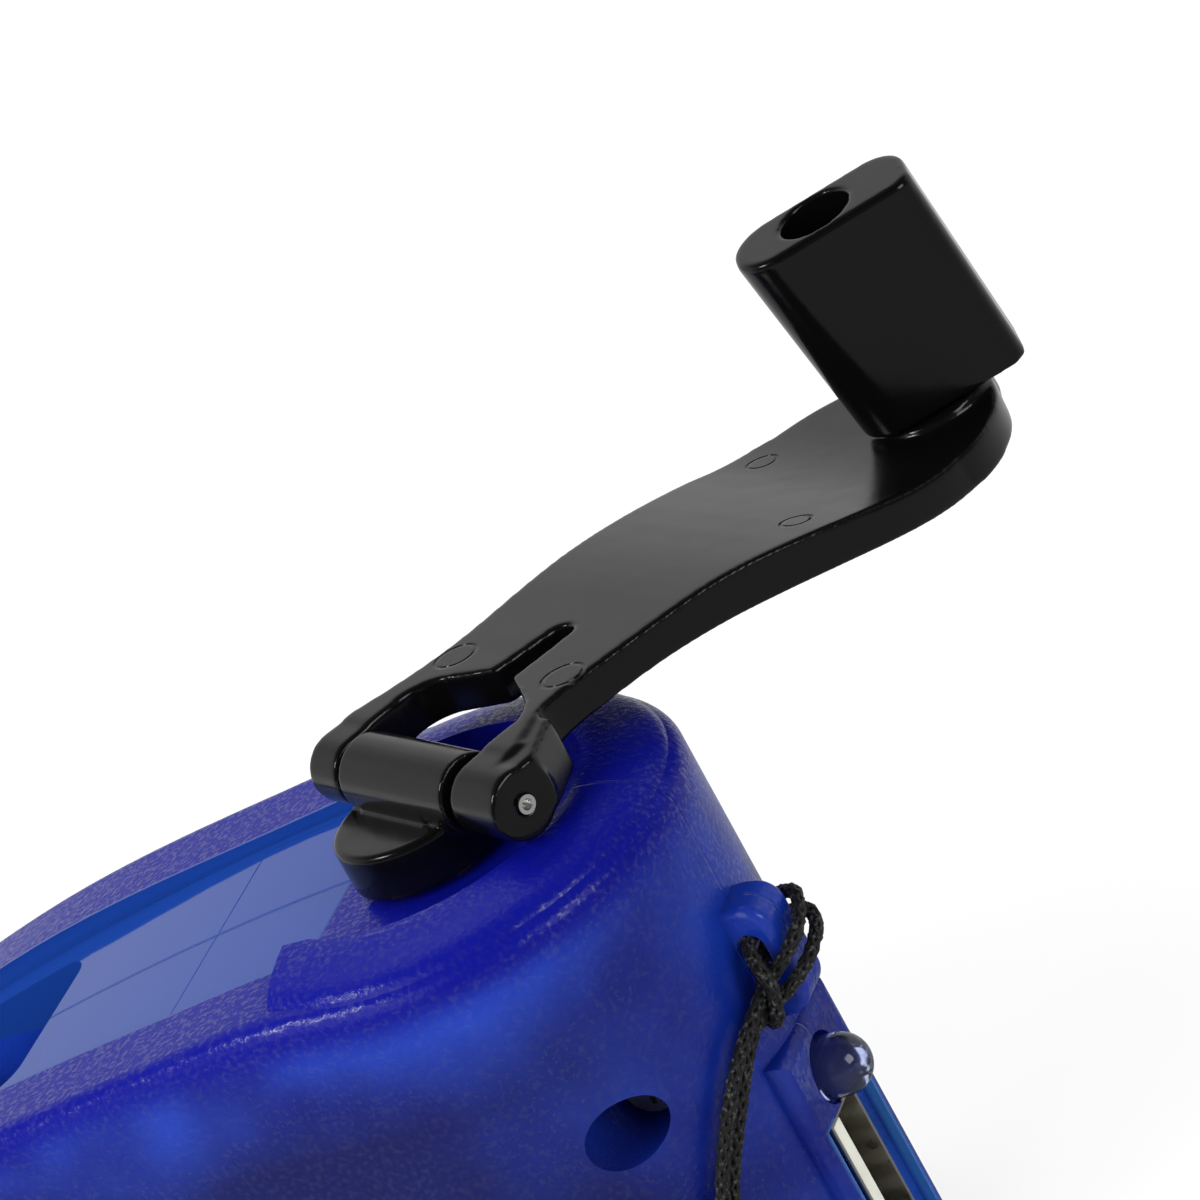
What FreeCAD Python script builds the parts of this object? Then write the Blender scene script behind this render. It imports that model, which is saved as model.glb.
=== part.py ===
import FreeCAD
import Part
import math
import os

# Hand cranked phone charger. Units are mm, +Z is up and the hub turns about Z through the origin.
# The charger stands on its flat base at z = 0, with the socket end towards +X.

V = FreeCAD.Vector

# ---- driving dimensions ----
BODY_R = 20.8
TAIL_X = -70.0
TAIL_R = 14.0
WALL = 2.0
DISC_TOP = 52.0
DISC_R = 6.6
DISC_H = 4.0
COLLAR_TOP = 50.0
COLLAR_R = BODY_R - 0.8
COLLAR_END_X = -7.6
SHOULDER_Z = 48.2
EDGE_R = 1.8
WELL_R = 13.6
WELL_Z = 47.4
CHANNEL_Y = 12.5
POCKET_X0 = -63.0
POCKET_Y = 9.0
POCKET_Z = 22.0
RUN = 0.05
CRANK_AZ = 57.4
HINGE_A = 1.6
HINGE_Z = DISC_TOP + 1.3
BARREL_R = 3.15
BARREL_H0 = -6.2
BARREL_H1 = 8.4
EAR_R = 2.9
EAR_GAP = 0.8
EAR_NEAR = 15.3
EAR_FAR = 11.1
PIN_R = 0.75
KNOB_A0 = 57.3
KNOB_A1 = 55.5
KNOB_Z0 = DISC_TOP - 1.2
KNOB_Z1 = DISC_TOP + 17.1
SPINDLE_R = 2.4
CORD_R = 0.6
PLATE_Z = 27.0
PLATE_T = 1.4
GEAR_WALL_GAP = 2.0
DRIVE_TEETH = 48
STEP_TEETH = 12
MODULE_1 = (BODY_R - WALL - GEAR_WALL_GAP) * 2.0 / DRIVE_TEETH
MODULE_2 = 0.6
MODULE_3 = 0.5
GEAR_2_TEETH = 36
GEAR_3_TEETH = 30
C1 = (-(DRIVE_TEETH + STEP_TEETH) * MODULE_1 / 2.0, 0.0)
GEN_X = C1[0] + 6.08
GEN_R = 12.0
CAN_WALL = 0.8
MAGNET_T = 2.25
AIR_GAP = 0.4
FACE_X = BODY_R + 0.6
USB_Z0 = 4.6
USB_Z1 = 17.7
USB_Y = 2.85
LED_Z = 21.1
LED_R = 2.5
BOARD_X0 = 5.4
BOARD_X1 = 7.0
BOARD_HALF = BODY_R - WALL - 2.4


# ---- helpers ----
def box(x0, x1, y0, y1, z0, z1):
    return Part.makeBox(x1 - x0, y1 - y0, z1 - z0, V(x0, y0, z0))


def cyl(x, y, z0, z1, r):
    return Part.makeCylinder(r, z1 - z0, V(x, y, z0), V(0, 0, 1))


def cyl_x(x0, x1, y, z, r):
    return Part.makeCylinder(r, x1 - x0, V(x0, y, z), V(1, 0, 0))


def cyl_y(y0, y1, x, z, r):
    return Part.makeCylinder(r, y1 - y0, V(x, y0, z), V(0, 1, 0))


def tube(x, y, z0, z1, r1, r0):
    return cyl(x, y, z0, z1, r1).cut(cyl(x, y, z0 - 1, z1 + 1, r0))


def soften(shape, edges, r):
    return shape.makeFillet(r, edges)


def unit(a):
    b = V(a)
    b.normalize()
    return b


def round_path(points, share=0.45):
    """Straight runs joined by tangent arcs, as large as the two runs beside each point allow."""
    p = [V(*q) for q in points]
    edges = []
    start = p[0]
    radii = []
    for i in range(1, len(p) - 1):
        d0 = unit(p[i] - p[i - 1])
        d1 = unit(p[i + 1] - p[i])
        turn = d0.getAngle(d1)
        cut = share * min((p[i] - p[i - 1]).Length, (p[i + 1] - p[i]).Length)
        r = cut / math.tan(turn / 2.0)
        radii.append(round(r, 1))
        a = p[i] - d0 * cut
        b = p[i] + d1 * cut
        mid = p[i] + unit(d1 - d0) * (r / math.cos(turn / 2.0) - r)
        edges.append(Part.LineSegment(start, a).toShape())
        edges.append(Part.Arc(a, mid, b).toShape())
        start = b
    edges.append(Part.LineSegment(start, p[-1]).toShape())
    return Part.Wire(edges), radii, unit(p[1] - p[0])


def cord(name, points, r):
    w, radii, t = round_path(points)
    circ = Part.Wire([Part.makeCircle(r, V(*points[0]), t)])
    s = w.makePipeShell([circ], True, False)
    ideal = math.pi * r * r * w.Length
    print("%s length %.1f radii %s volume share %.3f" % (name, w.Length, radii, s.Volume / ideal))
    return s


def group(shapes):
    return Part.makeCompound(shapes)


def gear(cx, cy, z0, z1, n, m, phase_deg, bore):
    pa = math.radians(25.0)
    rp = m * n / 2.0
    rb = rp * math.cos(pa)
    ra = rp + 0.8 * m
    rf = rp - 1.05 * m
    inv = math.tan(pa) - pa
    half = math.pi / (2.0 * n) - 0.05 * m / (2.0 * rp) - 0.02 / rp
    pts = []
    r0 = max(rb, rf)
    steps = 4
    flank = []
    for i in range(steps + 1):
        r = r0 + (ra - r0) * i / steps
        al = math.acos(min(1.0, rb / r))
        flank.append((r, half + inv - (math.tan(al) - al)))
    for k in range(n):
        c = math.radians(phase_deg) + 2.0 * math.pi * k / n
        if rf < rb:
            pts.append((rf, c - flank[0][1]))
        for r, a in flank:
            pts.append((r, c - a))
        for r, a in reversed(flank):
            pts.append((r, c + a))
        if rf < rb:
            pts.append((rf, c + flank[0][1]))
    vs = [V(cx + r * math.cos(a), cy + r * math.sin(a), z0) for r, a in pts]
    vs.append(vs[0])
    f = Part.Face(Part.makePolygon(vs))
    g = f.extrude(V(0, 0, z1 - z0))
    return g.cut(cyl(cx, cy, z0 - 1, z1 + 1, bore))


# ---- case: plan and side profile ----
def plan(inset, z0, z1):
    r = BODY_R - inset
    x0 = TAIL_X + inset
    tr = TAIL_R - inset
    y = r
    p = [V(0, -y, z0), V(x0 + tr, -y, z0), V(x0, -y + tr, z0), V(x0, y - tr, z0)]
    p += [V(x0 + tr, y, z0), V(0, y, z0)]
    c = math.sqrt(0.5)
    m1 = V(x0 + tr - tr * c, -y + tr - tr * c, z0)
    m2 = V(x0 + tr - tr * c, y - tr + tr * c, z0)
    e = [Part.makeLine(p[0], p[1]), Part.Arc(p[1], m1, p[2]).toShape(), Part.makeLine(p[2], p[3])]
    e += [Part.Arc(p[3], m2, p[4]).toShape(), Part.makeLine(p[4], p[5])]
    e += [Part.Arc(p[5], V(r, 0, z0), p[0]).toShape()]
    return Part.Face(Part.Wire(e)).extrude(V(0, 0, z1 - z0))


# the top line's fall below the shoulder, along the length
TOP_FALL = [(-3.0, 0.0), (-10.0, 0.2), (-18.0, 1.3), (-33.0, 3.5), (-46.0, 6.0), (-60.0, 10.0), (-80.0, 17.2)]
SIDE_Y = 40.0


def side(drop, z0):
    pts = [V(x, -SIDE_Y, SHOULDER_Z - fall - drop) for x, fall in TOP_FALL]
    c = Part.BSplineCurve()
    c.interpolate(pts)
    x1 = BODY_R * 2.0
    a = V(x1, -SIDE_Y, SHOULDER_Z - drop)
    b = V(pts[-1].x, -SIDE_Y, z0)
    d = V(x1, -SIDE_Y, z0)
    e = [Part.makeLine(a, pts[0]), c.toShape(), Part.makeLine(pts[-1], b), Part.makeLine(b, d), Part.makeLine(d, a)]
    return Part.Face(Part.Wire(e)).extrude(V(0, 2.0 * SIDE_Y, 0))


BASE_EDGE_R = 1.5
ABOVE = COLLAR_TOP + 12.0
# the collar's crown, as distance in from its rim and fall below its top
CROWN = [(0.0, 2.4), (0.25, 1.75), (1.0, 1.1), (2.4, 0.55), (4.0, 0.18), (5.6, 0.0)]


def case_outer():
    s = plan(0.0, 0.0, ABOVE).common(side(0.0, 0.0))
    top = [e for e in s.Edges if e.BoundBox.ZMin > SHOULDER_Z / 2.0]
    s = soften(s, top, EDGE_R)
    low = [e for e in s.Edges if e.BoundBox.ZMax < 0.01]
    s = soften(s, low, BASE_EDGE_R)
    crown = Part.BSplineCurve()
    crown.interpolate([V(COLLAR_R - run, 0, COLLAR_TOP - fall) for run, fall in CROWN])
    foot = COLLAR_TOP - 10.0
    outer_low, inner_top = V(COLLAR_R, 0, foot), V(0, 0, COLLAR_TOP)
    line = [V(COLLAR_R - CROWN[-1][0], 0, COLLAR_TOP), inner_top, V(0, 0, foot), outer_low,
            V(COLLAR_R, 0, COLLAR_TOP - CROWN[0][1])]
    ring = [crown.toShape()] + [Part.makeLine(a, b) for a, b in zip(line, line[1:])]
    collar = Part.Face(Part.Wire(ring)).revolve(V(0, 0, 0), V(0, 0, 1), 360)
    collar = collar.common(box(COLLAR_END_X, 2 * BODY_R, -2 * BODY_R, 2 * BODY_R, 0, ABOVE))
    return s.fuse(collar)


def case_inner(extra=0.0):
    d = WALL + extra
    return plan(d, d, ABOVE).common(side(d + 0.2, d))


# the channel floor's fall below the well
FLOOR_FALL = [(-4.0, 0.0), (-12.0, 0.7), (-21.0, 1.9), (-33.0, 4.0), (-46.0, 6.8), (-58.0, 10.0)]


def channel_cut(y, drop):
    pts = [V(x, -y, WELL_Z - fall - drop) for x, fall in FLOOR_FALL]
    c = Part.BSplineCurve()
    c.interpolate(pts)
    top = ABOVE
    e = [c.toShape(), Part.makeLine(pts[-1], V(pts[-1].x, -y, top))]
    e += [Part.makeLine(V(pts[-1].x, -y, top), V(pts[0].x, -y, top)), Part.makeLine(V(pts[0].x, -y, top), pts[0])]
    return Part.Face(Part.Wire(e)).extrude(V(0, 2 * y, 0))


def recesses(grow):
    s = cyl(0, 0, WELL_Z - grow, ABOVE, WELL_R + grow)
    s = s.fuse(channel_cut(CHANNEL_Y + grow, grow))
    p = box(POCKET_X0 - grow, POCKET_X1 + grow, -POCKET_Y - grow, POCKET_Y + grow, POCKET_Z - grow, ABOVE)
    up = [e for e in p.Edges if e.BoundBox.ZMax - e.BoundBox.ZMin > POCKET_Z / 2.0]
    p = soften(p, up, POCKET_CORNER_R + grow)
    return s.fuse(p)


POST_R = 3.4
POST_X = GEN_X - GEN_R - POST_R - 2.68
POCKET_X1 = POST_X - POST_R - 3.6
POCKET_CORNER_R = 3.0
SCREWS = [(13.1, 29.4), (GEN_X + GEN_R + POST_R + 0.92, 7.0), (POST_X, 8.0), (-60.0, 11.0)]
HEAD_HOLE_R = 2.7
HEAD_R = 2.1
SHANK_R = 0.93


# lanyard lug on the end face: a rounded staple with a slot through it along Y
LUG_X = BODY_R + 3.4
LUG_HALF = 2.3
LUG_Z0 = 27.4
LUG_Z1 = 37.6
LUG_END_R = 2.2
LUG_EDGE_R = 0.8
SLOT_R = 1.15
SLOT_X = LUG_X - 2.3
SLOT_Z0 = 32.4
SLOT_Z1 = 34.2


PANEL_HALF = 6.2
PANEL_Z0 = 1.0
PANEL_Z1 = 25.8
PANEL_EDGE_R = 1.2
LINER_T = 1.7
BUSH_SEAT_R = 3.6


def case_body():
    outer = case_outer()
    panel = box(BODY_R / 2.0, FACE_X, -PANEL_HALF, PANEL_HALF, PANEL_Z0, PANEL_Z1)
    rim = [e for e in panel.Edges if e.BoundBox.XMin > FACE_X - 0.1]
    panel = soften(panel, rim, PANEL_EDGE_R)
    outer = outer.fuse(panel)
    lug = box(BODY_R - WALL, LUG_X, -LUG_HALF, LUG_HALF, LUG_Z0, LUG_Z1)
    ends = [e for e in lug.Edges if e.BoundBox.XMin > LUG_X - 0.1 and e.BoundBox.YMax - e.BoundBox.YMin > 1]
    lug = soften(lug, ends, LUG_END_R)
    sharp = [e for e in lug.Edges if e.BoundBox.XMax > BODY_R and e.BoundBox.YMax - e.BoundBox.YMin < LUG_HALF]
    lug = soften(lug, sharp, LUG_EDGE_R)
    outer = outer.fuse(lug)
    y = 2.0 * LUG_HALF
    slot = cyl_y(-y, y, SLOT_X, SLOT_Z0, SLOT_R).fuse(cyl_y(-y, y, SLOT_X, SLOT_Z1, SLOT_R))
    slot = slot.fuse(box(SLOT_X - SLOT_R, SLOT_X + SLOT_R, -y, y, SLOT_Z0, SLOT_Z1))
    outer = outer.cut(slot)
    s = outer.cut(case_inner().cut(recesses(LINER_T)))
    s = s.cut(recesses(0.0))
    s = s.fuse(tube(0, 0, WELL_Z - 3.2, WELL_Z - 0.5, BUSH_SEAT_R + 1.6, BUSH_SEAT_R))
    s = s.cut(cyl(0, 0, WELL_Z - 7.4, ABOVE, BUSH_SEAT_R))
    return s


LED_SEAT_X = FACE_X - 3.9


def case_half(sign, body):
    y0, y1 = (-40, 0) if sign < 0 else (0, 40)
    h = body.common(box(-90, 60, y0, y1, -5, 80))
    inner = case_inner(-0.4)
    keep = box(-90, 60, y0, y1, -5, 80)
    shelf = BODY_R - 1.3
    rail = BOARD_HALF + 0.9
    adds = []
    for x, z in SCREWS:
        adds.append(cyl_y(y0, y1, x, z, POST_R))
    for x0, x1 in ((-31.0, -29.5), (-6.0, -4.5)):
        for z0, z1 in ((PLATE_Z - 2.2, PLATE_Z - RUN), (PLATE_Z + PLATE_T + RUN, PLATE_Z + PLATE_T + 2.2)):
            adds.append(box(x0, x1, sign * shelf - 3, sign * shelf + 3, z0, z1))
    for x0, x1 in ((BOARD_X0 - 1.1, BOARD_X0 - RUN), (BOARD_X1 + RUN, BOARD_X1 + 1.1)):
        adds.append(box(x0, x1, sign * rail - 1.9, sign * rail + 1.9, 1.6, 22.0))
    for a in adds:
        h = h.fuse(a.common(inner).common(keep))
    for x, z in SCREWS:
        if sign < 0:
            h = h.cut(cyl_y(-40, -9.0, x, z, HEAD_HOLE_R))
            h = h.cut(cyl_y(-20, 1.0, x, z, 1.15))
        else:
            h = h.cut(cyl_y(-1.0, 9.0, x, z, 0.95))
    h = h.cut(cyl_x(LED_SEAT_X, 2 * BODY_R, 0, LED_Z, LED_R + 0.4))
    mouth = box(LED_SEAT_X, 2 * BODY_R, -USB_Y - 0.25, USB_Y + 0.25, USB_Z0 - 0.25, USB_Z1 + 0.25)
    h = h.cut(mouth)
    h = h.cut(box(FACE_X - 1.0, 2 * BODY_R, -4.6, 4.6, USB_Z0 - 1.4, USB_Z1 + 0.55))
    return h.removeSplitter()


body = case_body()
case_near = case_half(-1, body)
case_far = case_half(1, body)

screws = []
for x, z in SCREWS:
    s = cyl_y(-9.4, 7.5, x, z, SHANK_R).fuse(cyl_y(-10.6, -9.0, x, z, HEAD_R))
    s = s.cut(box(x - 1.4, x + 1.4, -11, -9.9, z - 0.25, z + 0.25))
    s = s.cut(box(x - 0.25, x + 0.25, -11, -9.9, z - 1.4, z + 1.4))
    screws.append(s)
case_screws = group(screws)

# ---- hub: disc, pedestal, hinge barrel and spindle ----
az = math.radians(CRANK_AZ)


def crank_place(s):
    s = s.copy()
    s.rotate(V(0, 0, 0), V(0, 0, 1), CRANK_AZ)
    return s


def hcyl(h0, h1, a, z, r):
    return Part.makeCylinder(r, h1 - h0, V(a, -h1, z), V(0, 1, 0))


DISC_Z0 = DISC_TOP - DISC_H
hub = cyl(0, 0, DISC_Z0, DISC_TOP, DISC_R)
hub = soften(hub, [e for e in hub.Edges if e.BoundBox.ZMin > DISC_TOP - 0.01], 0.5)
hub = hub.fuse(hcyl(BARREL_H0, BARREL_H1, HINGE_A, HINGE_Z, BARREL_R))
ped = box(HINGE_A - BARREL_R, HINGE_A + BARREL_R, -4.6, 4.6, DISC_TOP - 1, HINGE_Z)
ped = ped.common(cyl(0, 0, DISC_TOP - 1, HINGE_Z, DISC_R - 0.2))
hub = hub.fuse(ped)
SPIN_R = 2.5
hub = hub.fuse(cyl(0, 0, 41.9, DISC_Z0, SPIN_R))
square = box(-1.6, 1.6, -1.6, 1.6, 37.4, 41.9)
hub = hub.fuse(square)
hub = hub.cut(cyl(0, 0, 36, 44.5, 0.85))
hub = hub.cut(hcyl(-20, 20, HINGE_A, HINGE_Z, PIN_R + RUN))
crank_hub = crank_place(hub.removeSplitter())

bush = cyl(0, 0, 44.3, 47.41, 3.58).fuse(cyl(0, 0, WELL_Z + 0.01, DISC_Z0 - 0.06, 5.0))
hub_bush = bush.cut(cyl(0, 0, 40, 60, SPIN_R + RUN))

dg = gear(0, 0, 37.4, 40.0, DRIVE_TEETH, MODULE_1, 180.0, 1.0).fuse(cyl(0, 0, 40.0, 41.85, 4.2))
dg = dg.cut(cyl(0, 0, 30, 50, 1.0))
sq = box(-1.65, 1.65, -1.65, 1.65, 30, 50)
sq.rotate(V(0, 0, 0), V(0, 0, 1), CRANK_AZ)
dg = dg.cut(sq)
WEB_R = DRIVE_TEETH * MODULE_1 / 2.0 - 7.2
for k in range(6):
    t = math.radians(60 * k + 30)
    dg = dg.cut(cyl(WEB_R * math.cos(t), WEB_R * math.sin(t), 30, 50, 2.8))
drive_gear = dg

hs = cyl(0, 0, 37.0, 43.5, 0.8).fuse(cyl(0, 0, 35.6, 36.9, 1.9))
hs = hs.fuse(cyl(0, 0, 36.85, 37.35, 2.9))
hs = hs.cut(box(-1.4, 1.4, -0.25, 0.25, 35, 36.2))
hub_screw = hs

# ---- gear train ----
# the second compound gear meshes with the first and with the pinion, so its axle is where both distances meet
REACH_1 = (GEAR_2_TEETH + STEP_TEETH) * MODULE_2 / 2.0
REACH_2 = (GEAR_3_TEETH + STEP_TEETH) * MODULE_3 / 2.0
span = GEN_X - C1[0]
along = (REACH_1 ** 2 - REACH_2 ** 2 + span ** 2) / (2.0 * span)
C2 = (C1[0] + along, -math.sqrt(REACH_1 ** 2 - along ** 2))
D1 = math.degrees(math.atan2(C2[1] - C1[1], C2[0] - C1[0]))
D2 = math.degrees(math.atan2(0 - C2[1], GEN_X - C2[0]))
c1 = gear(C1[0], C1[1], 37.0, 40.4, STEP_TEETH, MODULE_1, 180.0 / STEP_TEETH, 1.0 + RUN)
c1 = c1.fuse(tube(C1[0], C1[1], 35.8, 37.0, 2.9, 1.0 + RUN))
c1 = c1.fuse(gear(C1[0], C1[1], 33.4, 35.8, GEAR_2_TEETH, MODULE_2, D1, 1.0 + RUN))
compound_gear_1 = c1
c2 = gear(C2[0], C2[1], 33.0, 36.6, STEP_TEETH, MODULE_2, D1 + 180 + 180.0 / STEP_TEETH, 1.0 + RUN)
c2 = c2.fuse(tube(C2[0], C2[1], 31.4, 33.0, 2.5, 1.0 + RUN))
c2 = c2.fuse(gear(C2[0], C2[1], 29.4, 31.4, GEAR_3_TEETH, MODULE_3, D2, 1.0 + RUN))
compound_gear_2 = c2

PT = PLATE_Z + PLATE_T
gear_pin_1 = cyl(C1[0], C1[1], PLATE_Z, 41.6, 1.0).fuse(cyl(C1[0], C1[1], PT, 33.3, 1.5))
gear_pin_2 = cyl(C2[0], C2[1], PLATE_Z, 37.1, 1.0).fuse(cyl(C2[0], C2[1], PT, 29.3, 1.6))
clip = tube(C2[0], C2[1], 36.65, 36.95, 1.9, 1.0).cut(box(C2[0] - 0.7, C2[0] + 0.7, C2[1], C2[1] + 3, 36, 38))
pin_clip = clip

plate = plan(WALL + 0.5, PLATE_Z, PT).common(box(C1[0] - 13.0, 8.4, -2 * BODY_R, 2 * BODY_R, PLATE_Z - 1, PT + 1))
plate = plate.cut(cyl(GEN_X, 0, PLATE_Z - 1, PT + 1, 3.02))
plate = plate.cut(cyl(C1[0], C1[1], PLATE_Z - 1, PT + 1, 1.0)).cut(cyl(C2[0], C2[1], PLATE_Z - 1, PT + 1, 1.0))
PILLARS = [(C1[0] - 7.0, 13.0), (C1[0] - 7.0, -13.0)]
for x, y in PILLARS:
    plate = plate.cut(cyl(x, y, PLATE_Z - 1, PT + 1, 1.1))
GSCREW = [(GEN_X, 8.0), (GEN_X, -8.0)]
for x, y in GSCREW:
    plate = plate.cut(cyl(x, y, PLATE_Z - 1, PT + 1, 1.1))
gear_plate = plate

bridge = box(C1[0] - 10.5, C1[0] + 3.4, -15.2, 15.2, 40.8, 41.8).cut(cyl(C1[0], C1[1], 40, 43, 1.0))
for y0, y1 in ((5.5, 20), (-20, -5.5)):
    bridge = bridge.cut(box(C1[0] - 3.0, C1[0] + 11.0, y0, y1, 40, 43))
for x, y in PILLARS:
    bridge = bridge.cut(cyl(x, y, 40, 43, 1.1))
gear_bridge = bridge
gear_pillars = group([tube(x, y, PT, 40.8, 2.1, 0.85) for x, y in PILLARS])
ps = []
for x, y in PILLARS:
    ps.append(cyl(x, y, 38.0, 41.8, 0.83).fuse(cyl(x, y, 41.8, 42.2, 1.8)))
    ps.append(cyl(x, y, PLATE_Z, 31.5, 0.83).fuse(cyl(x, y, PLATE_Z - 1.1, PLATE_Z, 1.8)))
pillar_screws = group(ps)

# ---- generator ----
G0 = 5.5
G1 = PLATE_Z
can = cyl(GEN_X, 0, 8.0, G1, GEN_R).cut(cyl(GEN_X, 0, 7.0, G1 - CAN_WALL, GEN_R - CAN_WALL))
can = can.fuse(cyl(GEN_X, 0, G1 - CAN_WALL, PT, 3.0)).cut(cyl(GEN_X, 0, 20, 40, 2.2))
for x, y in GSCREW:
    can = can.cut(cyl(x, y, 20, 40, 0.85))
generator_can = can
cap = cyl(GEN_X, 0, G0, 8.0, GEN_R).cut(cyl(GEN_X, 0, 6.5, 9, GEN_R - 2.0)).fuse(cyl(GEN_X, 0, G0, 7.6, 3.2))
cap = cap.cut(cyl(GEN_X, 0, 5.0, 9, 2.2))
for s in (-1, 1):
    cap = cap.cut(box(GEN_X - 1.0, GEN_X + 1.0, s * 7 - 0.4, s * 7 + 0.4, 5, 7))
generator_end_cap = cap
generator_bushes = group([tube(GEN_X, 0, G1 - CAN_WALL, PT, 2.2, 1.0 + RUN), tube(GEN_X, 0, G0, 7.6, 2.2, 1.0 + RUN)])
MAG_R = GEN_R - CAN_WALL - RUN
mags = tube(GEN_X, 0, 10.5, 24.5, MAG_R, MAG_R - MAGNET_T)
cutx = box(GEN_X - GEN_R, GEN_X + GEN_R, -3.2, 3.2, 5, 30)
mags = mags.cut(cutx)
generator_magnets = group(mags.Solids)
generator_shaft = cyl(GEN_X, 0, G0 + 0.3, 32.4, 1.0)
CORE_R = MAG_R - MAGNET_T - AIR_GAP
# a slot leaves 2.4 mm round the shaft and 0.9 mm of iron outside it
COIL_SLOT_R = (CORE_R - 3.3) / 2.0
COIL_SLOT_AT = CORE_R - 0.9 - COIL_SLOT_R
core = cyl(GEN_X, 0, 12.0, 23.0, CORE_R).cut(cyl(GEN_X, 0, 11, 24, 1.0))
coils = []
for k in range(3):
    t = math.radians(120 * k + 60)
    n = box(COIL_SLOT_AT + 0.9, GEN_R, -0.9, 0.9, 11, 24)
    w = cyl(COIL_SLOT_AT, 0, 11, 24, COIL_SLOT_R)
    n.rotate(V(0, 0, 0), V(0, 0, 1), 120 * k + 60)
    w.rotate(V(0, 0, 0), V(0, 0, 1), 120 * k + 60)
    n.translate(V(GEN_X, 0, 0))
    w.translate(V(GEN_X, 0, 0))
    core = core.cut(n).cut(w)
    u = cyl(GEN_X + COIL_SLOT_AT * math.cos(t), COIL_SLOT_AT * math.sin(t), 11.2, 23.8, COIL_SLOT_R - 0.15)
    coils.append(u)
rotor_core = core
rotor_windings = group(coils)
commutator = tube(GEN_X, 0, 8.2, 11.0, 2.3, 1.0)
generator_brushes = group([box(GEN_X - 1.2, GEN_X + 1.2, 2.35, 8.3, 9.2, 9.6),
                           box(GEN_X - 1.2, GEN_X + 1.2, -8.3, -2.35, 9.2, 9.6)])
terms = []
for s in (-1, 1):
    terms.append(box(GEN_X - 0.95, GEN_X + 0.95, s * 7 - 0.35, s * 7 + 0.35, 3.8, 9.19))
generator_terminals = group(terms)
gp = gear(GEN_X, 0, 28.8, 32.2, STEP_TEETH, MODULE_3, D2 + 180 + 180.0 / STEP_TEETH, 1.0)
generator_pinion = gp
gs = []
for x, y in GSCREW:
    gs.append(cyl(x, y, 25.2, PT, 0.83).fuse(cyl(x, y, PT, PT + 0.8, 1.8)))
generator_screws = group(gs)

# ---- circuit board and what it carries ----
board = box(BOARD_X0, BOARD_X1, -BOARD_HALF, BOARD_HALF, WALL + 0.6, PLATE_Z - 1.6)
for z in (LED_Z - 1.27, LED_Z + 1.27):
    board = board.cut(cyl_x(BOARD_X0 - 1, BOARD_X1 + 1, 0, z, 0.35))
circuit_board = board
rect = []
DIODE_X = 3.9
for y in (-13.0, -9.5, -6.0, -2.5):
    b = cyl(DIODE_X, y, 16.5, 21.0, 1.3)
    w = box(DIODE_X - 0.25, DIODE_X + 0.25, y - 0.25, y + 0.25, 14.75, 22.75)
    for z in (15.0, 22.5):
        w = w.fuse(box(DIODE_X - 0.25, BOARD_X0, y - 0.25, y + 0.25, z - 0.25, z + 0.25))
    rect.append(b.fuse(w).removeSplitter())
rectifier_diodes = group(rect)
capacitor = cyl_x(-1.4, BOARD_X0, 11.0, 15.2, 3.9)
capacitor = soften(capacitor, [e for e in capacitor.Edges if e.BoundBox.XMax < -1.3], 0.6)
voltage_regulator = box(BOARD_X1, BOARD_X1 + 1.7, 6.5, 13.0, 15.5, 19.5).fuse(box(BOARD_X1, BOARD_X1 + 0.4, 7.6, 12, 19.5, 21.5))
inductor = cyl_x(BOARD_X1, BOARD_X1 + 1.0, -9.6, 12.0, 3.4).fuse(cyl_x(BOARD_X1, BOARD_X1 + 4.6, -9.6, 12.0, 2.4))
inductor = inductor.fuse(cyl_x(BOARD_X1 + 3.6, BOARD_X1 + 4.6, -9.6, 12.0, 3.4))

# ---- socket: steel shell, tongue and contacts ----
SX0 = BOARD_X1
SX1 = FACE_X - 0.7
SHEET_T = 0.35
BACK_X = SX0 + 4.2
sh = box(SX0, SX1, -USB_Y, USB_Y, USB_Z0, USB_Z1)
sh = sh.cut(box(SX0 - 1, SX1 + 1, -USB_Y + SHEET_T, USB_Y - SHEET_T, USB_Z0 + SHEET_T, USB_Z1 - SHEET_T))
for z in (USB_Z0 + 3.6, USB_Z1 - 4.3):
    for y in (USB_Y, -USB_Y):
        sh = sh.cut(box(SX1 - 6.1, SX1 - 2.1, y - 1, y + 1, z - 0.9, z + 0.9))
usb_shell = sh
tg = box(SX0, BACK_X, -USB_Y + 0.4, USB_Y - 0.4, USB_Z0 + 0.4, USB_Z1 - 0.4)
tg = tg.fuse(box(BACK_X, SX1 - 0.5, -2.1, -0.26, USB_Z0 + 1.0, USB_Z1 - 1.0))
usb_tongue = tg
ct = []
for dz in (3.05, 5.55, 7.55, 10.05):
    ct.append(box(BACK_X, SX1 - 1.3, -0.26, -0.06, USB_Z0 + dz - 0.5, USB_Z0 + dz + 0.5))
usb_contacts = group(ct)

# ---- lamp ----
LENS_X0 = LED_SEAT_X - 1.1
LENS_X1 = FACE_X + 1.1
LEAD_X1 = FACE_X - 1.0
LEAD_Z = 1.27
lens = cyl_x(LENS_X0, LENS_X1, 0, LED_Z, LED_R).fuse(Part.makeSphere(LED_R, V(LENS_X1, 0, LED_Z)))
lens = lens.fuse(cyl_x(LENS_X0, LED_SEAT_X - 0.1, 0, LED_Z, LED_R + 0.35))
leads = []
for s in (-1, 1):
    z = LED_Z + s * LEAD_Z
    lens = lens.cut(box(LENS_X0 - 0.4, LEAD_X1 + 0.1, -0.3, 0.3, z - 0.3, z + 0.3))
    leads.append(box(BOARD_X0 + 0.3, LEAD_X1, -0.24, 0.24, z - 0.24, z + 0.24))
led_lamp = lens
led_leads = group(leads)

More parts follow.
